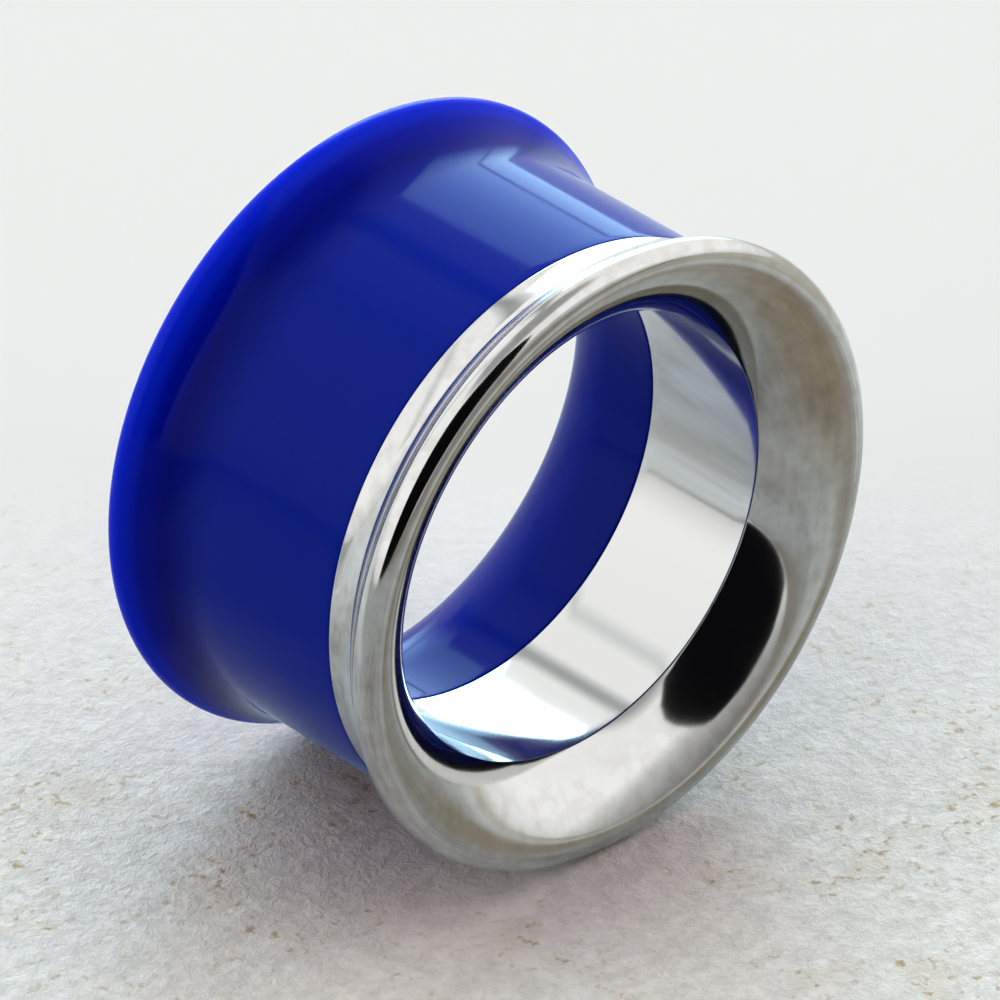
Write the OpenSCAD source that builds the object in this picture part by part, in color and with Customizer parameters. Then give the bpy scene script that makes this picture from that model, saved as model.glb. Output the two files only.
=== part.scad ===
// Two-part flared ear tunnel: a polished steel front that screws into a coloured acrylic back.
// Millimetres, +Z up. The tunnel lies on its two rims, its bore runs along Y and the
// steel front faces -Y. The floor is Z = 0.

/* [Tunnel] */
// Gauge: outside diameter of the straight waist that sits in the ear lobe
gauge_d = 22; // [20:0.5:26]
// Thickness from the waist in to the open bore
wall_t = 2.35; // [2.2:0.05:2.8]
// How far both rims stand out past the waist
flare_h = 1.1; // [0.9:0.05:1.5]

/* [Steel front] */
// Length of the front from the seam to its foremost ring
front_l = 3.25; // [2.9:0.05:4]
// Edge radius of the front rim
front_round = 0.62; // [0.4:0.02:0.7]
// Radius of the domed front face
face_r = 4.8; // [4.2:0.1:7]
// How far the edge of the bore lies behind the foremost ring
face_depth = 2.2; // [1.8:0.05:2.4]
// Distance from the seam to the narrowest place behind the front rim
neck_l = 0.3; // [0.1:0.05:0.6]
// Length of the tube that reaches into the back
stem_l = 4.35; // [3.6:0.05:5.2]

/* [Acrylic back] */
// Length of the back from the seam to its rearmost ring
back_l = 10.6; // [9.8:0.1:13]
// Edge radius of the rear rim
back_round = 0.5; // [0.35:0.05:0.6]
// Radius of the hollow between the waist and the rear rim
back_fillet_r = 4.4; // [3.4:0.1:5.2]
// Radius of the trumpet mouth inside the rear rim
trumpet_r = 4.1; // [3.4:0.1:4.6]

/* [Screw fit] */
// Distance from one thread ridge to the next
thread_pitch = 0.75; // [0.6:0.05:1]
// Height of the thread ridges
thread_h = 0.3; // [0.2:0.02:0.36]
// Free gap between the two threads
thread_gap = 0.08; // [0.05:0.01:0.1]
// Gap left where the two pieces meet end to end
seam_gap = 0.05; // [0.03:0.01:0.08]

/* [Hidden] */
$fn = 96;
tiny = 0.01;
lap = 0.2;
waist_r = gauge_d / 2;
bore_r = waist_r - wall_t;
rim_r = waist_r + flare_h;
total_l = front_l + back_l;
mid_s = (front_l - back_l) / 2;

// stem and socket: radii from the bore outward
stem_crest_r = bore_r + 1.05;
stem_root_r = stem_crest_r - thread_h;
socket_crest_r = stem_crest_r + thread_gap;
socket_root_r = socket_crest_r + thread_h;
stem_lead = 0.5;
stem_relief_l = 0.6;
ridge_flat = 0.12;
ridge_base = thread_pitch * 0.8;
// the male ridges fill what lies between the relief at the shoulder and the plain lead
ridge_room = stem_l - stem_relief_l - stem_lead - ridge_base;
ridge_n = floor(ridge_room / thread_pitch) + 1;
ridge_first = stem_relief_l + ridge_base / 2;

// front rim, fillet behind it and domed face before it; points are [radius, distance ahead of the seam]
front_rim = [rim_r - front_round, front_l - front_round];
front_fillet_r = (pow(front_rim[1] - neck_l, 2) + pow(front_rim[0] - waist_r, 2)
    - pow(front_round, 2)) / (2 * flare_h);
front_fillet = [waist_r + front_fillet_r, neck_l];
shoulder_r = front_fillet[0] - sqrt(pow(front_fillet_r, 2) - pow(neck_l, 2));
bore_edge = [bore_r, front_l - face_depth];
face_centre = two_circle(front_rim, face_r - front_round, bore_edge, face_r);

// rear rim, fillet before it and trumpet mouth inside it
rear_rim = [rim_r - back_round, back_round - back_l];
back_fillet_dr = waist_r + back_fillet_r - rear_rim[0];
back_fillet = [
    waist_r + back_fillet_r,
    rear_rim[1] + sqrt(pow(back_fillet_r + back_round, 2) - pow(back_fillet_dr, 2))
];
trumpet_dr = bore_r + trumpet_r - rear_rim[0];
trumpet = [
    bore_r + trumpet_r,
    rear_rim[1] + sqrt(pow(trumpet_r - back_round, 2) - pow(trumpet_dr, 2))
];

// the lower-left of the two points at distance ra from a and rb from b
function two_circle(a, ra, b, rb) = let (
    d = norm(b - a),
    t = (ra * ra - rb * rb + d * d) / (2 * d),
    h = sqrt(ra * ra - t * t),
    u = (b - a) / d,
    p = a + t * u + h * [-u[1], u[0]],
    q = a + t * u - h * [-u[1], u[0]]
) (p[1] < q[1] ? p : q);

// the point on the far side of a circle of radius r round c, in line with from
function beyond(from, c, r) = c + r * (c - from) / norm(c - from);

module disc(c, r) {
    translate(c) circle(r);
}

// what lies between the chord a-b and the arc of radius r round c, lapping the solid behind it
module bulge(c, r, a, b) {
    n = ((a + b) / 2 - c) / norm((a + b) / 2 - c);
    intersection() {
        disc(c, r);
        polygon([b - lap * n, b + r * n, a + r * n, a - lap * n]);
    }
}

// one thread ridge standing out (side 1) or in (side -1) from radius r
module ridge(r, s, side) {
    polygon([
        [r - side * tiny, s - ridge_base / 2],
        [r + side * thread_h, s - ridge_flat / 2],
        [r + side * thread_h, s + ridge_flat / 2],
        [r - side * tiny, s + ridge_base / 2]
    ]);
}

// half section of the lip that shows in front of the lobe
module lip_section() {
    fillet_end = front_fillet + front_fillet_r * (front_rim - front_fillet)
        / norm(front_rim - front_fillet);
    face_end = beyond(face_centre, front_rim, front_round);
    difference() {
        polygon([
            [bore_r, 0],
            [shoulder_r, 0],
            fillet_end,
            front_rim,
            face_end,
            bore_edge
        ]);
        disc(front_fillet, front_fillet_r);
    }
    disc(front_rim, front_round);
    bulge(face_centre, face_r, bore_edge, face_end);
}

// half section of the threaded tube behind the lip
module stem_section() {
    translate([bore_r, -stem_l]) square([stem_root_r - bore_r, stem_l + tiny]);
    for (i = [0 : ridge_n - 1]) {
        ridge(stem_root_r, -ridge_first - i * thread_pitch, 1);
    }
}

// half section of the acrylic back before the socket is cut
module back_section() {
    fillet_end = back_fillet + back_fillet_r * (rear_rim - back_fillet)
        / norm(rear_rim - back_fillet);
    mouth_end = beyond(trumpet, rear_rim, back_round);
    mouth_start = [bore_r, trumpet[1]];
    difference() {
        polygon([
            [bore_r, -seam_gap],
            mouth_start,
            mouth_end,
            rear_rim,
            fillet_end,
            [waist_r, back_fillet[1]],
            [waist_r, -seam_gap]
        ]);
        disc(back_fillet, back_fillet_r);
    }
    disc(rear_rim, back_round);
    bulge(trumpet, trumpet_r, mouth_end, mouth_start);
}

// half section of the socket, its thread ridges left standing
module socket_section() {
    depth = stem_l + seam_gap;
    difference() {
        translate([bore_r - 1, -depth]) square([socket_root_r - bore_r + 1, depth + 1]);
        for (i = [0 : ridge_n - 1]) {
            ridge(socket_root_r, -ridge_first - i * thread_pitch, -1);
        }
    }
}

// turns the stacked section onto its side and sets it down on its rims
module lying() {
    translate([0, mid_s, rim_r]) rotate([90, 0, 0]) children();
}

module steel_front() {
    color([0.78, 0.78, 0.77])
    lying()
    rotate_extrude() {
        lip_section();
        stem_section();
    }
}

module acrylic_back() {
    color([0.02, 0.05, 0.55])
    lying()
    rotate_extrude()
    difference() {
        back_section();
        socket_section();
    }
}

steel_front();
acrylic_back();
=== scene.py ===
# %% [markdown]
# # A two-part ear tunnel: polished steel front, blue acrylic back
#
# The real object is a short tube with a flare at each end. The front is turned from
# stainless steel and polished; its threaded stem screws into the back, which is turned
# from deep blue acrylic. Each is one round piece, so each is made here as one turned
# mesh: a half section is drawn point by point and spun about the bore.
#
# The imported CAD model is the fixed frame.

# %% Load the frame
import math

import bmesh
import bpy
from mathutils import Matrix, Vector


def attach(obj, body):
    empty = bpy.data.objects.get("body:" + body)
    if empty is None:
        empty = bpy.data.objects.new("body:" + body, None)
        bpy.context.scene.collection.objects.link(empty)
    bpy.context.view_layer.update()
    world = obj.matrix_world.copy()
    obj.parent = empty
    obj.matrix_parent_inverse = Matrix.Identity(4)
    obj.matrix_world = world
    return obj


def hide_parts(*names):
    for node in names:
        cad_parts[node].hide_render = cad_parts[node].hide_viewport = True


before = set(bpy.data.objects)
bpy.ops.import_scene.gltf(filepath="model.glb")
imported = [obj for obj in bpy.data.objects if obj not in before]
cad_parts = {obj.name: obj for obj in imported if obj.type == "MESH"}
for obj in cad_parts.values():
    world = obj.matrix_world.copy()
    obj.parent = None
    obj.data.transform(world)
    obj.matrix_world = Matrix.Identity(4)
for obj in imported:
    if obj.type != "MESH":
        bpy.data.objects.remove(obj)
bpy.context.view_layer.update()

# %% [markdown]
# ## Sizes
#
# A handful of a turner's sizes describes the whole tunnel. They could be measured off the
# frame's meshes, but a drawing is easier to read and to change, so they are written here
# as they stand in the part's own source, in millimetres. `s` is the distance ahead of the
# seam between the two pieces, towards the steel face, and `r` the distance from the
# middle of the bore. The tunnel lies on its two rims with the bore along Y.

# %% Sizes of the tunnel
MM = 0.001
WAIST_R = 11.0
BORE_R = 8.65
RIM_R = 12.1
FRONT_L = 3.25
BACK_L = 10.6
MID_S = (FRONT_L - BACK_L) / 2
SEAM_GAP = 0.05


def in_room(r, s, angle):
    """A point of the section, turned by angle about the bore, in metres."""
    return Vector((r * math.cos(angle), MID_S - s, RIM_R + r * math.sin(angle))) * MM


print("length %.2f mm, widest %.2f mm" % (FRONT_L + BACK_L, 2 * RIM_R))

# %% [markdown]
# ## Drawing a half section
#
# A turner's profile is straight cuts and arcs. A curve with handles could follow it, but
# turned rounds are true circles, so `arc` walks along one arc and `line` along one
# straight cut. A corner that the real piece has broken by polishing gets a tiny round,
# `broken`, because an edge with no width never catches the light.

# %% Arcs and lines of a section


def arc(centre, radius, start, end, steps):
    """Points (r, s) along an arc; angles in degrees, 0 pointing along +s and 90 along +r."""
    r0, s0 = centre
    turns = [math.radians(start + (end - start) * i / steps) for i in range(steps + 1)]
    return [(r0 + radius * math.sin(t), s0 + radius * math.cos(t)) for t in turns]


def line(start, end, steps):
    """Points from start up to, but not counting, end."""
    (r0, s0), (r1, s1) = start, end
    return [(r0 + (r1 - r0) * i / steps, s0 + (s1 - s0) * i / steps) for i in range(steps)]


def angle_to(a, b):
    """Direction from point a to point b in the section, in arc's degrees."""
    return math.degrees(math.atan2(b[0] - a[0], b[1] - a[1]))


print("due outwards is %.0f degrees" % angle_to((0, 0), (1, 0)))

# %% Broken corners
EDGE = 0.05
CORNER_STEPS = 4


def broken(before, corner, after, size=EDGE):
    """The corner between two neighbours, rounded off by size along both sides."""
    p, c, q = (Vector(x) for x in (before, corner, after))
    a, b = c + (p - c).normalized() * size, c + (q - c).normalized() * size
    curve = []
    for i in range(CORNER_STEPS + 1):
        t = i / CORNER_STEPS
        curve.append(tuple(a * (1 - t) ** 2 + c * 2 * t * (1 - t) + b * t**2))
    return curve


print("a polished corner is broken by %.2f mm" % EDGE)

# %% [markdown]
# ## The screw thread
#
# Steel stem and acrylic socket carry one thread of 0.75 mm pitch. The CAD solids carry it
# as plain rings, and a bump would look flat in the open socket. So the ridge stands up in
# the mesh and runs round as the real helix, which looks right when the front is drawn
# out. It fades in and out at its ends, as a cut thread does.

# %% Thread ridge height
PITCH = 0.75
RIDGE_H = 0.3
RIDGE_BASE = 0.6
RIDGE_FLAT = 0.12
THREAD_START, THREAD_END = -0.6, -3.55
THREAD_FADE = 0.3


def ridge_height(s, turn):
    """How far the ridge stands up at s, on the section at turn (0 to 1) round the bore."""
    phase = ((s - THREAD_START) / PITCH - turn) % 1.0
    away = min(phase, 1.0 - phase) * PITCH
    flank = (RIDGE_BASE - RIDGE_FLAT) / 2
    height = min(1.0, max(0.0, (RIDGE_BASE / 2 - away) / flank))
    ends = min((THREAD_START - s) / THREAD_FADE, (s - THREAD_END) / THREAD_FADE, 1.0)
    return RIDGE_H * height * max(0.0, ends)


print("thread: %.1f turns" % ((THREAD_START - THREAD_END) / PITCH))

# %% [markdown]
# ## Spinning the section
#
# A Screw modifier would spin a plain section, but not one whose thread changes as it
# goes round. So the rows are laid out by hand with bmesh: one ring of points for each
# point of the closed section, joined by quads.

# %% Spin a closed section into a mesh
SEGMENTS = 288
SHARP_ANGLE = math.radians(28)


def turned_piece(name, section, thread_side):
    """Spins a closed section. Points marked "thread" follow the helix, out (1) or in (-1)."""
    bm = bmesh.new()
    rings = []
    for point in section:
        r, s = point[:2]
        threaded = len(point) > 2
        ring = []
        for k in range(SEGMENTS):
            turn = k / SEGMENTS
            lift = thread_side * ridge_height(s, turn) if threaded else 0.0
            ring.append(bm.verts.new(in_room(r + lift, s, 2 * math.pi * turn)))
        rings.append(ring)
    for i, ring in enumerate(rings):
        after = rings[(i + 1) % len(rings)]
        for k in range(SEGMENTS):
            n = (k + 1) % SEGMENTS
            bm.faces.new((ring[k], ring[n], after[n], after[k]))
    bmesh.ops.recalc_face_normals(bm, faces=bm.faces)
    mesh = bpy.data.meshes.new(name)
    bm.to_mesh(mesh)
    bm.free()
    mesh.shade_smooth()
    mesh.set_sharp_from_angle(angle=SHARP_ANGLE)
    piece = bpy.data.objects.new(name, mesh)
    bpy.context.scene.collection.objects.link(piece)
    print(name, len(mesh.vertices), "points,", 2 * len(mesh.polygons), "triangles")
    return piece


# %% [markdown]
# ## The steel front
#
# The face falls in a long domed arc from the rounded rim to the crisp edge of the bore.
# Outside, the rim rolls back down a small fillet to its narrowest place, a hair in front
# of the seam. Behind the seam the stem is thinner and carries the thread. The three arcs
# touch each other without a corner, so their middles are worked out from the rim instead
# of being measured one by one.

# %% Arcs of the steel front
FRONT_ROUND = 0.62
FRONT_RIM = (RIM_R - FRONT_ROUND, FRONT_L - FRONT_ROUND)
FACE_R = 4.8
BORE_EDGE = (BORE_R, 1.05)
NECK_L = 0.3
FACE_STEPS, FRONT_RIM_STEPS, FRONT_FILLET_STEPS = 44, 36, 30

fillet_r = ((FRONT_RIM[1] - NECK_L) ** 2 + (FRONT_RIM[0] - WAIST_R) ** 2 - FRONT_ROUND**2) / (
    2 * (RIM_R - WAIST_R)
)
fillet = (WAIST_R + fillet_r, NECK_L)
past_neck = math.degrees(math.asin(NECK_L / fillet_r))


def face_middle(rim, rim_reach, edge, edge_reach):
    """Where the circle of the domed face has its middle: behind both its ends."""
    p, q = Vector(rim), Vector(edge)
    d = (q - p).length
    t = (rim_reach**2 - edge_reach**2 + d * d) / (2 * d)
    h = math.sqrt(rim_reach**2 - t * t)
    u = (q - p) / d
    both = [p + u * t + Vector((-u[1], u[0])) * h * side for side in (1, -1)]
    return tuple(min(both, key=lambda c: c[1]))


face = face_middle(FRONT_RIM, FACE_R - FRONT_ROUND, BORE_EDGE, FACE_R)
face_from, face_to = angle_to(face, BORE_EDGE), angle_to(face, FRONT_RIM)
rim_to = angle_to(FRONT_RIM, fillet)
face_arc = arc(face, FACE_R, face_from, face_to, FACE_STEPS)
rim_arc = arc(FRONT_RIM, FRONT_ROUND, face_to, rim_to, FRONT_RIM_STEPS)
fillet_arc = arc(fillet, fillet_r, rim_to - 180, -90 - past_neck, FRONT_FILLET_STEPS)
print("front fillet: radius %.2f mm" % fillet_r)

# %% Section of the steel front
STEM_L = 4.35
STEM_ROOT_R = 9.4
SEAT_R = 10.6
STEM_LEAD = 0.2
THREAD_STEP = 0.05
BORE_STEPS, SEAT_STEPS = 12, 4
shoulder = fillet_arc[-1]
stem_foot, stem_end = (STEM_ROOT_R, 0), (STEM_ROOT_R, -STEM_L)
bore_foot, bore_end = (BORE_R, 0), (BORE_R, -STEM_L)

steel_section = line((BORE_R, -STEM_L + EDGE), (BORE_R, BORE_EDGE[1] - EDGE), BORE_STEPS)
steel_section += broken(bore_foot, BORE_EDGE, face_arc[1])
steel_section += face_arc[2:] + rim_arc[1:] + fillet_arc[1:-1]
steel_section += broken(fillet_arc[-2], shoulder, stem_foot)
steel_section += line((SEAT_R, 0), stem_foot, SEAT_STEPS)
rows = round(STEM_L / THREAD_STEP)
stem_rows = [-i * THREAD_STEP for i in range(rows)]
steel_section += [(STEM_ROOT_R, s, "thread") for s in stem_rows]
steel_section += broken(stem_foot, stem_end, bore_end, STEM_LEAD)
steel_section += broken(stem_end, bore_end, bore_foot)[:-1]
steel = turned_piece("steel_front_turned", steel_section, thread_side=1.0)

# %% [markdown]
# ## The acrylic back
#
# The waist is the straight length that the ear lobe sits on. It swells through a wide
# fillet to the rear rim, and the bore opens into a trumpet mouth inside that rim. The
# socket for the stem is cut into the seam end. A boolean could cut that socket, but it
# is turned like everything else, so it is simply part of the section.

# %% Arcs of the acrylic back
BACK_ROUND = 0.5
BACK_FILLET_R = 4.4
TRUMPET_R = 4.1
rear_rim = (RIM_R - BACK_ROUND, BACK_ROUND - BACK_L)


def beside_rim(r, reach):
    """A circle's middle at radius r, reach away from the middle of the rear rim's round."""
    return (r, rear_rim[1] + math.sqrt(reach**2 - (r - rear_rim[0]) ** 2))


back_fillet = beside_rim(WAIST_R + BACK_FILLET_R, BACK_FILLET_R + BACK_ROUND)
trumpet = beside_rim(BORE_R + TRUMPET_R, TRUMPET_R - BACK_ROUND)
fillet_end = angle_to(back_fillet, rear_rim)
mouth_end = angle_to(trumpet, rear_rim)
print("waist: straight for %.2f mm" % (-SEAM_GAP - back_fillet[1]))

# %% Section of the acrylic back
SOCKET_ROOT_R = 10.08
SOCKET_MOUTH_R = 10.3
WAIST_FROM = -0.4
MOUTH_LEAD = 0.1
WAIST_STEPS, BACK_FILLET_STEPS, REAR_RIM_STEPS, TRUMPET_STEPS = 20, 34, 36, 30
LIP_STEPS, INNER_BORE_STEPS = 3, 10
socket_floor = -(STEM_L + SEAM_GAP)
socket_mouth, waist_edge = (SOCKET_MOUTH_R, -SEAM_GAP), (WAIST_R, -SEAM_GAP)
waist_end, trumpet_end = (WAIST_R, back_fillet[1]), (BORE_R, trumpet[1])
ledge, socket_corner = (BORE_R, socket_floor), (SOCKET_ROOT_R, socket_floor)

acrylic_section = line(socket_mouth, (WAIST_R - EDGE, -SEAM_GAP), LIP_STEPS)
acrylic_section += broken(socket_mouth, waist_edge, waist_end)
acrylic_section += line((WAIST_R, WAIST_FROM), waist_end, WAIST_STEPS)
acrylic_section += arc(back_fillet, BACK_FILLET_R, -90, fillet_end, BACK_FILLET_STEPS)
acrylic_section += arc(
    rear_rim, BACK_ROUND, fillet_end + 180, mouth_end + 360, REAR_RIM_STEPS
)[1:]
acrylic_section += arc(trumpet, TRUMPET_R, mouth_end + 360, 270, TRUMPET_STEPS)[1:]
acrylic_section += line((BORE_R, trumpet[1] + MOUTH_LEAD), ledge, INNER_BORE_STEPS)
acrylic_section += broken(trumpet_end, ledge, socket_corner) + [socket_corner]
socket_rows = [socket_floor + i * THREAD_STEP for i in range(1, rows + 1)]
acrylic_section += [(SOCKET_ROOT_R, s, "thread") for s in socket_rows]
acrylic = turned_piece("acrylic_back_turned", acrylic_section, thread_side=-1.0)

# %% [markdown]
# ## Tying the pieces to the model
#
# Each turned mesh stands for one CAD node and rides on that node's body, so the front
# moves out along the bore when it is unscrewed. Parenting by hand would do the same for
# one pose, but the frame's own calls hold at every pose.

# %% Ride on the bodies
for piece, body, node, slot in (
    (steel, "front", "steel_front", "polished_steel"),
    (acrylic, "back", "acrylic_back", "blue_acrylic"),
):
    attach(piece, body)
    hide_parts(node)
    print(piece.name, "rides on", body, "and stands for", node)

# %% [markdown]
# ## Building materials from nodes
#
# Each finish is a Principled shader fed by a few procedural textures, with no pictures.
# The nodes could be placed by hand in the Shading tab, but a short line of text for each
# is easier to read and to repeat. `feed` gives a socket its value or its link, `wire`
# adds one node, and `new_material` writes what is the same all over on the shader itself.

# %% Sockets, nodes and materials


def feed(tree, socket, value):
    """Links the socket to another node's output, or writes a plain value on it."""
    if isinstance(value, bpy.types.NodeSocket):
        tree.links.new(value, socket)
    elif socket.type == "RGBA":
        socket.default_value = (*value, 1)
    else:
        socket.default_value = value


def wire(tree, kind, inputs=None, **settings):
    """Adds a node with its settings, and feeds its inputs by name or number."""
    node = tree.nodes.new(kind)
    for key, value in settings.items():
        if hasattr(node, key):
            setattr(node, key, value)
        else:
            feed(tree, node.inputs[key.replace("_", " ")], value)
    for key, value in (inputs or {}).items():
        feed(tree, node.inputs[key], value)
    return node


def new_material(name, **values):
    """A material, its node tree and its Principled shader, with the named sockets set."""
    material = bpy.data.materials.new(name)
    material.use_nodes = True
    tree = material.node_tree
    shader = tree.nodes["Principled BSDF"]
    for socket, value in values.items():
        feed(tree, shader.inputs[socket.replace("_", " ")], value)
    print("material", name)
    return material, tree, shader


# %% [markdown]
# Most of a finish is sums on numbers and on places, soft noise, and ramps that turn a
# number into a tone. Each gets a helper with a plain name, which returns the one output
# that is used, so that a finish reads like a list of what the surface has.

# %% Sums on numbers and places


def maths(tree, operation, *values):
    """One sum on numbers, such as ADD or MULTIPLY."""
    return wire(tree, "ShaderNodeMath", dict(enumerate(values)), operation=operation).outputs[0]


def place_maths(tree, operation, *values):
    """One sum on places; its outputs are a Vector or, for a length, a Value."""
    inputs = dict(enumerate(values))
    return wire(tree, "ShaderNodeVectorMath", inputs, operation=operation).outputs


def between(tree, value, start, end):
    """0 below start, 1 above end, and an even rise between them."""
    return wire(
        tree, "ShaderNodeMapRange", {"Value": value}, From_Min=start, From_Max=end
    ).outputs["Result"]


def own_place(tree):
    """Where a point lies on its own object, in metres."""
    return wire(tree, "ShaderNodeTexCoord").outputs["Object"]


print("sums: maths, place_maths, between")

# %% Noise, ramps and layers


def noise(tree, place, **look):
    """Soft random clouds over place, from 0 to 1."""
    return wire(tree, "ShaderNodeTexNoise", {"Vector": place}, **look).outputs["Fac"]


def ramp(tree, source, stops):
    """A colour ramp over source; stops are (place, grey or colour)."""
    node = wire(tree, "ShaderNodeValToRGB", {"Fac": source})
    points = node.color_ramp.elements
    while len(points) < len(stops):
        points.new(0.5)
    for point, (place, tone) in zip(points, stops):
        point.position = place
        point.color = (tone,) * 3 + (1,) if isinstance(tone, float) else (*tone, 1)
    return node.outputs["Color"]


def layer(tree, share, under, over, blend_type="MIX"):
    """Colour over laid on colour under, as much as share says."""
    inputs = {0: share, 1: under, 2: over}
    return wire(tree, "ShaderNodeMixRGB", inputs, blend_type=blend_type).outputs["Color"]


def darkened(tree, under, shade):
    """Colour under, multiplied by shade."""
    return layer(tree, 1.0, under, shade, "MULTIPLY")


def bump(tree, height, strength, distance):
    """A surface direction that follows a small height."""
    inputs = {"Height": height, "Strength": strength, "Distance": distance}
    return wire(tree, "ShaderNodeBump", inputs).outputs["Normal"]


print("looks: noise, ramp, layer, darkened, bump")

# %% [markdown]
# ## Polished steel
#
# The front is mirror bright, but a turned and buffed piece is never a perfect mirror:
# faint tool lines run round it, and handling leaves soft smears that scatter a little
# more light and make the face a little browner than the tube. An anisotropic gloss would
# streak the whole piece, so the lines are only a very weak bump. They have to run round
# the bore, so the object's own x and z are first turned into an angle.

# %% Round-the-bore coordinates


def around_bore(tree, stretch):
    """In mm: the distance round the bore, squeezed by stretch, along it and out from it."""
    parts = wire(tree, "ShaderNodeSeparateXYZ", {0: own_place(tree)}).outputs
    up = maths(tree, "SUBTRACT", parts["Z"], RIM_R * MM)
    turn = maths(tree, "ARCTAN2", up, parts["X"])
    flat = wire(tree, "ShaderNodeCombineXYZ", {"X": parts["X"], "Y": up}).outputs[0]
    out = place_maths(tree, "LENGTH", flat)["Value"]
    joined = wire(tree, "ShaderNodeCombineXYZ", {"X": turn, "Y": parts["Y"], "Z": out})
    in_mm = (WAIST_R / stretch, 1 / MM, 1 / MM)
    return place_maths(tree, "MULTIPLY", joined.outputs[0], in_mm)["Vector"]


print("the waist is %.1f mm round" % (2 * math.pi * WAIST_R))

# %% Steel: tool lines and smears
LINE_STRETCH = 40.0
steel_finish, tree, steel_shader = new_material("polished_steel", Metallic=1.0)
round_steel = around_bore(tree, LINE_STRETCH)
steel_place = own_place(tree)
tool_lines = noise(tree, round_steel, Scale=9.0, Detail=3.0)
smears = noise(tree, steel_place, Scale=260.0, Detail=4.0)
dullness = ramp(tree, smears, [(0.35, 0.06), (0.62, 0.1), (0.8, 0.15)])
fine_lines = bump(tree, tool_lines, strength=0.02, distance=0.00002)
feed(tree, steel_shader.inputs["Normal"], fine_lines)
feed(tree, steel_shader.inputs["Roughness"], dullness)
print("steel: gloss and tool lines fed")

# %% Steel: the handled face
BRIGHT_STEEL = (0.575, 0.58, 0.568)
HANDLED_FROM, HANDLED_TO = 0.1, 1.0
handling = noise(tree, steel_place, Scale=1500.0, Detail=3.0)
handled_steel = ramp(tree, handling, [(0.38, (0.53, 0.52, 0.495)), (0.6, (0.59, 0.595, 0.58))])
out_from_bore = wire(tree, "ShaderNodeSeparateXYZ", {0: round_steel}).outputs["Z"]
handled = between(tree, out_from_bore, BORE_R + HANDLED_FROM, BORE_R + HANDLED_TO)
steel_tone = layer(tree, handled, BRIGHT_STEEL, handled_steel)
feed(tree, steel_shader.inputs["Base Color"], steel_tone)
steel.data.materials.append(steel_finish)
print("steel:", len(tree.nodes), "nodes")

# %% [markdown]
# ## Blue acrylic
#
# The back is acrylic, dyed a deep ultramarine and polished. Light sinks in a short way
# before it comes back out, which is what subsurface scattering does, and the thin rear
# rim glows brighter than the rest. Scattering alone makes that glow too even, so a glow
# is also painted into the colour near the rim, with a painted shade in the fillet just
# inside it, darker than the waist. A faint sheen gives the pale line round the flare.
# The surface is smooth, with a little haze and the odd speck of dust.

# %% Acrylic: the dye, a painted glow at the rim and a painted shade in the fillet
PAINTED_GLOW_REACH = 4.0
# Painted light: the blue is lightened near the rear rim as a glow, and is darkest in the fillet as
# a shade.
DYE_AND_PAINTED_GLOW = [
    (0.12, (0.003, 0.022, 0.66)),
    (0.2, (0.001, 0.006, 0.4)),
    (0.42, (0.0004, 0.003, 0.21)),
    (1.0, (0.0008, 0.013, 0.3)),
]
acrylic_finish, tree, acrylic_shader = new_material(
    "blue_acrylic",
    Base_Color=(0.002, 0.006, 0.24),
    IOR=1.49,
    Specular_IOR_Level=0.05,
    Sheen_Weight=0.45,
    Sheen_Roughness=0.2,
    Sheen_Tint=(0.05, 0.4, 1.0),
    Subsurface_Weight=0.7,
    Subsurface_Radius=(0.1, 0.25, 1.0),
    Subsurface_Scale=0.0015,
)


def how_far(tree, place, point, reach):
    """The distance of place from point, as a share of reach."""
    away = place_maths(tree, "DISTANCE", place, point)["Value"]
    return maths(tree, "DIVIDE", away, reach)


section_place = place_maths(tree, "MULTIPLY", around_bore(tree, 1.0), (0, 1, 1))["Vector"]
rim_middle = (0, MID_S - rear_rim[1], rear_rim[0])
# The dye is painted lighter towards the rear rim as a glow, and darker in the fillet as a shade.
dye_and_painted_glow = ramp(tree, how_far(tree, section_place, rim_middle, PAINTED_GLOW_REACH), DYE_AND_PAINTED_GLOW)
print("acrylic: the rim glows over %.1f mm" % PAINTED_GLOW_REACH)

# %% Acrylic: haze and dust
DUST_PER_M = 420.0
DUST_TONE = (0.55, 0.6, 0.75)
acrylic_place = own_place(tree)
cloud = noise(tree, acrylic_place, Scale=140.0, Detail=2.0)
feed(tree, acrylic_shader.inputs["Roughness"], ramp(tree, cloud, [(0.3, 0.06), (0.7, 0.11)]))
cells = wire(tree, "ShaderNodeTexVoronoi", {"Vector": acrylic_place}, Scale=DUST_PER_M).outputs
near_speck = ramp(tree, cells["Distance"], [(0.018, 1.0), (0.03, 0.0)])
chance = wire(tree, "ShaderNodeSeparateColor", {0: cells["Color"]}).outputs[0]
few = ramp(tree, chance, [(0.8, 0.0), (0.82, 0.8)])
# Dust specks go over the blue, which carries its painted glow and shade.
dust_and_painted_glow = layer(tree, maths(tree, "MULTIPLY", near_speck, few), dye_and_painted_glow, DUST_TONE)
feed(tree, acrylic_shader.inputs["Base Color"], dust_and_painted_glow)
acrylic.data.materials.append(acrylic_finish)
print("acrylic:", len(tree.nodes), "nodes")

# %% [markdown]
# ## The floor
#
# The tunnel lies on a pale, soft cloth. It is stage, not part of the object: one large
# square with no edge in sight. Real fibres could be grown as hair, but at this distance
# the cloth only needs their light and shade, so they are left to its finish.

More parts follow.
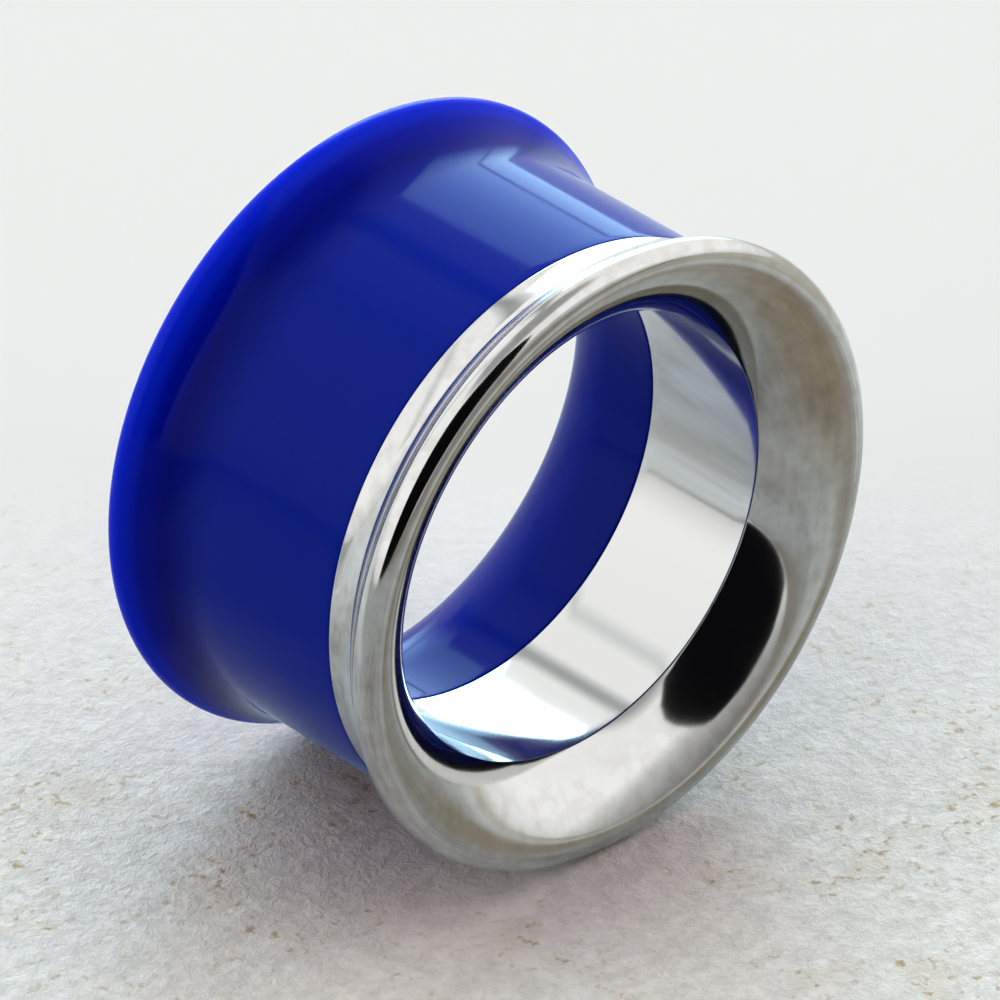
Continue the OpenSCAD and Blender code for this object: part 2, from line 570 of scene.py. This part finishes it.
# %% Floor
FLOOR_HALF = 3.0
bm = bmesh.new()
corners = [(-1, -1), (1, -1), (1, 1), (-1, 1)]
bm.faces.new([bm.verts.new((x * FLOOR_HALF, y * FLOOR_HALF, 0)) for x, y in corners])
floor_mesh = bpy.data.meshes.new("floor")
bm.to_mesh(floor_mesh)
bm.free()
floor = bpy.data.objects.new("floor", floor_mesh)
bpy.context.scene.collection.objects.link(floor)
print("floor: %.0f m square" % (2 * FLOOR_HALF))

# %% [markdown]
# ## The nap of the cloth
#
# Fine fibres lie between larger tufts, so two noises are added. They show near the front
# of the table and fade to one smooth tone further back, where a close-up goes soft.
# Blurring the camera would soften the tunnel as well, so the pattern itself fades.

# %% Nap
TO_FRONT = (-0.682, -0.731, 0)
FADE_FROM, FADE_TO = -0.02, 0.004
SMOOTH_CLOTH = (0.805, 0.765, 0.72)
NAP_TONES = [(0.42, (0.84, 0.81, 0.76)), (0.5, (0.92, 0.89, 0.84)), (0.58, (0.985, 0.955, 0.905))]
floor_finish, tree, floor_shader = new_material(
    "pale_cloth", Roughness=0.9, Specular_IOR_Level=0.1
)
place = own_place(tree)
forward = place_maths(tree, "DOT_PRODUCT", place, TO_FRONT)["Value"]
near = between(tree, forward, FADE_FROM, FADE_TO)
fibres = noise(tree, place, Scale=1900.0, Detail=5.0, Roughness=0.75, Distortion=0.4)
tufts = noise(tree, place, Scale=900.0, Detail=4.0, Roughness=0.6)
nap = maths(tree, "ADD", fibres, tufts)
nap_tone = ramp(tree, maths(tree, "DIVIDE", nap, 2), NAP_TONES)
cloth = layer(tree, near, SMOOTH_CLOTH, nap_tone)
nap_height = maths(tree, "MULTIPLY", nap, near)
raised_nap = bump(tree, nap_height, strength=0.7, distance=0.0003)
feed(tree, floor_shader.inputs["Normal"], raised_nap)
print("cloth: nap of two noises")

# %% [markdown]
# The cloth is not new. Tea-coloured stains cross it, and brown specks gather in them.
# Scattered grains would need a piece each, while a threshold on a fine noise gives
# specks of every shape. The slow noise of the stains also thins the specks between them.

# %% Stains and specks
STAIN_TONE = (0.8, 0.66, 0.46)
SPECK_TONE = (0.5, 0.37, 0.17)
stains = noise(tree, place, Scale=190.0, Detail=5.0, Roughness=0.6)
stained = ramp(tree, stains, [(0.54, 0.0), (0.72, 0.45)])
cloth = layer(tree, maths(tree, "MULTIPLY", stained, near), cloth, STAIN_TONE)
grains = noise(tree, place, Scale=2100.0, Detail=2.0)
specks = ramp(tree, grains, [(0.58, 0.0), (0.69, 0.85)])
gathered = maths(tree, "MULTIPLY", specks, ramp(tree, stains, [(0.48, 0.15), (0.6, 1.0)]))
cloth = layer(tree, maths(tree, "MULTIPLY", gathered, near), cloth, SPECK_TONE)
print("cloth: stains and specks")

# %% [markdown]
# ## Shade round the foot
#
# Where the tunnel stands, the cloth sinks a little and holds a soft violet shade. A tent
# lights from all sides and leaves too little of it. A stronger lamp would harden every
# shadow, so the shade is worked into the cloth, in steps out from the foot.

# %% Shade round the foot
FOOT = (-0.0025, -0.0034, 0)
SHADE_REACH = 0.05
FOOT_SHADE = [
    (0.11, (0.76, 0.68, 0.7)),
    (0.155, (0.82, 0.77, 0.77)),
    (0.225, (0.94, 0.92, 0.91)),
    (0.34, (0.98, 0.975, 0.97)),
    (0.7, (1.0, 1.0, 1.0)),
]
shade = ramp(tree, how_far(tree, place, FOOT, SHADE_REACH), FOOT_SHADE)
shaded = darkened(tree, cloth, shade)
print("cloth: shade over %.0f mm round the foot" % (SHADE_REACH / MM))

# %% [markdown]
# ## What the steel sees of the cloth
#
# The domed face mirrors cloth that lies in front of the picture, and shows it greyer,
# browner and mottled. A second cloth there would show in other views. The Light Path
# node tells mirror rays from the camera's, so the same floor can have these tones in the
# steel alone. They are a painted shade in steps out from the tunnel, then one brown
# patch, blots, and tones that grow darker and browner towards the right and darker towards the
# front.

# %% Painted shade round the tunnel in the mirror
MIRROR_REACH = 0.12
MIRROR_SHADE_TONES = [
    (0.05, (0.78, 0.785, 0.79)),
    (0.14, (0.69, 0.69, 0.68)),
    (0.24, (0.7, 0.69, 0.67)),
    (0.33, (0.92, 0.92, 0.92)),
    (0.45, (1.0, 1.0, 1.0)),
]
PATCH_MIDDLE, PATCH_REACH = (0.01, -0.018, 0), 0.05
PATCH_TONE = (0.455, 0.375, 0.28)
BLOTS = [(0.38, (0.76, 0.735, 0.71)), (0.48, (0.88, 0.87, 0.855)), (0.6, (1.0, 1.0, 1.0))]
# Painted shade: in the mirror the cloth is darker within a few centimetres of the tunnel.
mirrored = ramp(tree, how_far(tree, place, (0, 0, 0), MIRROR_REACH), MIRROR_SHADE_TONES)
to_patch = how_far(tree, place, PATCH_MIDDLE, PATCH_REACH)
mirrored = layer(tree, ramp(tree, to_patch, [(0.1, 1.0), (0.28, 0.0)]), mirrored, PATCH_TONE)
blots = noise(tree, place, Scale=170.0, Detail=4.0, Roughness=0.65)
mirrored = darkened(tree, mirrored, ramp(tree, blots, BLOTS))
print("mirror: tones over %.0f mm" % (MIRROR_REACH / MM))

# %% Darker to the right and to the front, in the mirror
TO_RIGHT = (0.67, -0.743, 0)
RIGHTWARD_FROM, RIGHTWARD_TO = 0.028, 0.06
STRIP_FROM, STRIP_TO = 0.016, 0.036
RIGHTWARD_TONES = [(0.0, (1.0, 1.0, 1.0)), (1.0, (0.69, 0.63, 0.54))]
rightward = place_maths(tree, "DOT_PRODUCT", place, TO_RIGHT)["Value"]
# In the mirror the cloth grows darker and browner towards the right, and darker towards the front.
darker_rightward = ramp(tree, between(tree, rightward, RIGHTWARD_FROM, RIGHTWARD_TO), RIGHTWARD_TONES)
mirrored = darkened(tree, mirrored, darker_rightward)
into_strip = between(tree, forward, STRIP_FROM, STRIP_TO)
front_strip = ramp(tree, into_strip, [(0.0, 1.0), (1.0, 0.6)])
mirrored = darkened(tree, mirrored, front_strip)
print("mirror: table and front strip")

# %% [markdown]
# White cloth under a blue piece throws so much light back up that the blue turns milky
# low down, which the real one doesn't. Rays that a matt surface sends out, marked as
# diffuse by the same node, find a darker cloth.

# %% Camera, mirror and matt surfaces see their own cloth
BOUNCE_TONE = (0.4, 0.4, 0.45)
ray = wire(tree, "ShaderNodeLightPath").outputs
seen = layer(tree, ray["Is Glossy Ray"], shaded, mirrored)
bounced = layer(tree, ray["Is Diffuse Ray"], seen, BOUNCE_TONE, "MULTIPLY")
feed(tree, floor_shader.inputs["Base Color"], bounced)
floor.data.materials.append(floor_finish)
print("cloth:", len(tree.nodes), "nodes")

# %% [markdown]
# ## The light tent
#
# A mirror shows the room, so the room is built. The tunnel stood in a white tent lit
# from outside: bright walls, a greyer roof, and a wall that is dim on one side. Area
# lamps would show in the steel as hard squares, so the tent is the world's own light, a
# ramp over height, darkened round one direction.

# %% Tent walls and roof


def on_tent(azimuth, elevation, reach=1.0):
    """A place on the tent: azimuth 0 is -Y, growing towards +X, both in degrees."""
    a, e = math.radians(azimuth), math.radians(elevation)
    return Vector((math.sin(a) * math.cos(e), -math.cos(a) * math.cos(e), math.sin(e))) * reach


TENT_STRENGTH = 1.6
WALLS = [(0.0, 0.6), (0.06, 0.72), (0.2, 0.88), (0.3, 0.9), (0.86, 0.85), (0.93, 0.35), (1.0, 0.3)]
DIM_AZIMUTH, DIM_ELEVATION = 15, 0
DIM_WALL = [(0.86, 1.0), (0.92, 0.61), (0.96, 0.46), (0.985, 0.37), (1.0, 0.33)]
world = bpy.data.worlds.new("tent")
bpy.context.scene.world = world
world.use_nodes = True
tree = world.node_tree
way = wire(tree, "ShaderNodeTexCoord").outputs["Generated"]
walls = ramp(tree, wire(tree, "ShaderNodeSeparateXYZ", {0: way}).outputs["Z"], WALLS)
dim_way = on_tent(DIM_AZIMUTH, DIM_ELEVATION)
dim = ramp(tree, place_maths(tree, "DOT_PRODUCT", way, dim_way)["Value"], DIM_WALL)
sky = tree.nodes["Background"]
feed(tree, sky.inputs["Color"], darkened(tree, walls, dim))
feed(tree, sky.inputs["Strength"], TENT_STRENGTH)
print("tent: strength", TENT_STRENGTH)

# %% [markdown]
# ## Cards on the tent
#
# The dark opening round the camera, a window and two seams of the tent stand out in the
# steel and the acrylic. They could be painted into the world, but outlines are easier to
# draw as meshes. Each is a card on a large sphere round the tunnel, drawn in azimuth and
# elevation, with its own glow. The camera itself doesn't see it.

# %% A card on the tent
CARD_REACH = 1.3
CARD_STEPS = 12


def card_mesh(name, outline):
    """A patch of the sphere, from (azimuth, lowest, highest elevation) along its width."""
    bm = bmesh.new()
    across = bm.loops.layers.uv.new("across")
    columns = []
    for azimuth, low, high in outline:
        steps = [low + (high - low) * i / CARD_STEPS for i in range(CARD_STEPS + 1)]
        columns.append([bm.verts.new(on_tent(azimuth, e, CARD_REACH)) for e in steps])
    spans = len(columns) - 1
    for k in range(spans):
        left, right = columns[k : k + 2]
        for i in range(CARD_STEPS):
            side = bm.faces.new((left[i], right[i], right[i + 1], left[i + 1]))
            for loop, u in zip(side.loops, (k, k + 1, k + 1, k)):
                loop[across].uv = (u / spans, i / CARD_STEPS)
    mesh = bpy.data.meshes.new(name)
    bm.to_mesh(mesh)
    bm.free()
    return mesh


print("cards: %.1f m out" % CARD_REACH)

# %% Its glow and soft edges


def soften(tree, shader, soft):
    """Lets light through towards both upright edges, over the share soft of the width."""
    uv = wire(tree, "ShaderNodeTexCoord").outputs["UV"]
    width = wire(tree, "ShaderNodeSeparateXYZ", {0: uv}).outputs["X"]
    cover = ramp(tree, width, [(0.0, 0.0), (soft, 1.0), (1 - soft, 1.0), (1.0, 0.0)])
    clear = wire(tree, "ShaderNodeBsdfTransparent").outputs[0]
    edged = wire(tree, "ShaderNodeMixShader", {0: cover, 1: clear, 2: shader.outputs[0]})
    feed(tree, tree.nodes["Material Output"].inputs["Surface"], edged.outputs[0])


def card(name, outline, tone, soft=0.0):
    """A card that glows in tone, hidden from the camera."""
    mesh = card_mesh(name, outline)
    made = bpy.data.objects.new(name, mesh)
    bpy.context.scene.collection.objects.link(made)
    made.visible_camera = False
    glow, tree, shader = new_material(
        name,
        Base_Color=(0, 0, 0),
        Emission_Color=tone,
        Emission_Strength=1.0,
        Specular_IOR_Level=0.0,
    )
    if soft:
        soften(tree, shader, soft)
    mesh.materials.append(glow)
    print("card", name, len(mesh.polygons), "faces")


# %% Opening, window and seams
OPENING = [(-78, 2, 40), (-74, 1, 52), (-66, 0.5, 58), (-40, 0.5, 62), (-22, 1, 64)]
OPENING += [(-8, 5, 60), (2, 10, 55), (8, 15, 46), (9, 18, 38)]
NEAR_BLACK = (0.004, 0.004, 0.005)
DAYLIGHT = (3.7, 6.0, 7.2)
DIM_SEAM, BRIGHT_SEAM = (0.55, 0.58, 0.58), (1.0, 1.03, 1.03)
card("camera_opening", OPENING, NEAR_BLACK)
card("window_low", [(116, 0.5, 11), (135, 0.5, 11.6), (154, 0.5, 12)], DAYLIGHT, soft=0.25)
card("window_high", [(116, 12.4, 36), (135, 13, 39), (154, 13.4, 40)], DAYLIGHT, soft=0.25)
card("roof_seam", [(153, 20, 66), (160, 20, 68), (168, 20, 66)], DIM_SEAM, soft=0.4)
card("thin_seam", [(190, 15, 75), (198, 15, 75), (206, 15, 75)], BRIGHT_SEAM, soft=0.45)

# %% [markdown]
# ## The camera
#
# The photograph was taken with a long lens from in front and above, 33 degrees over the
# table, with the steel face turned towards the lower right. A short lens close by would
# frame the tunnel as well, but would swell its front. Long lens and distance were fitted
# together, until both rims had their right sizes.

# %% Camera
AZIMUTH, ELEVATION = -43.01, 32.92
DISTANCE = 492.6 * MM
SIDE, RISE = -2.10 * MM, 0.89 * MM
LENS, SENSOR = 504.0, 36.0
NEAREST, FARTHEST = 0.01, 50.0
seam = in_room(0, 0, 0)
back = on_tent(AZIMUTH, ELEVATION)
turn = (-back).to_track_quat("-Z", "Y")
aim = seam + turn @ Vector((SIDE, RISE, 0))
camera_data = bpy.data.cameras.new("camera")
camera_data.lens, camera_data.sensor_width = LENS, SENSOR
camera_data.clip_start, camera_data.clip_end = NEAREST, FARTHEST
camera = bpy.data.objects.new("camera", camera_data)
bpy.context.scene.collection.objects.link(camera)
camera.rotation_mode = "QUATERNION"
camera.location = aim + back * DISTANCE
camera.rotation_quaternion = turn
bpy.context.scene.camera = camera
bpy.context.scene.view_settings.view_transform = "Standard"
print("camera at", [round(x, 4) for x in camera.location])
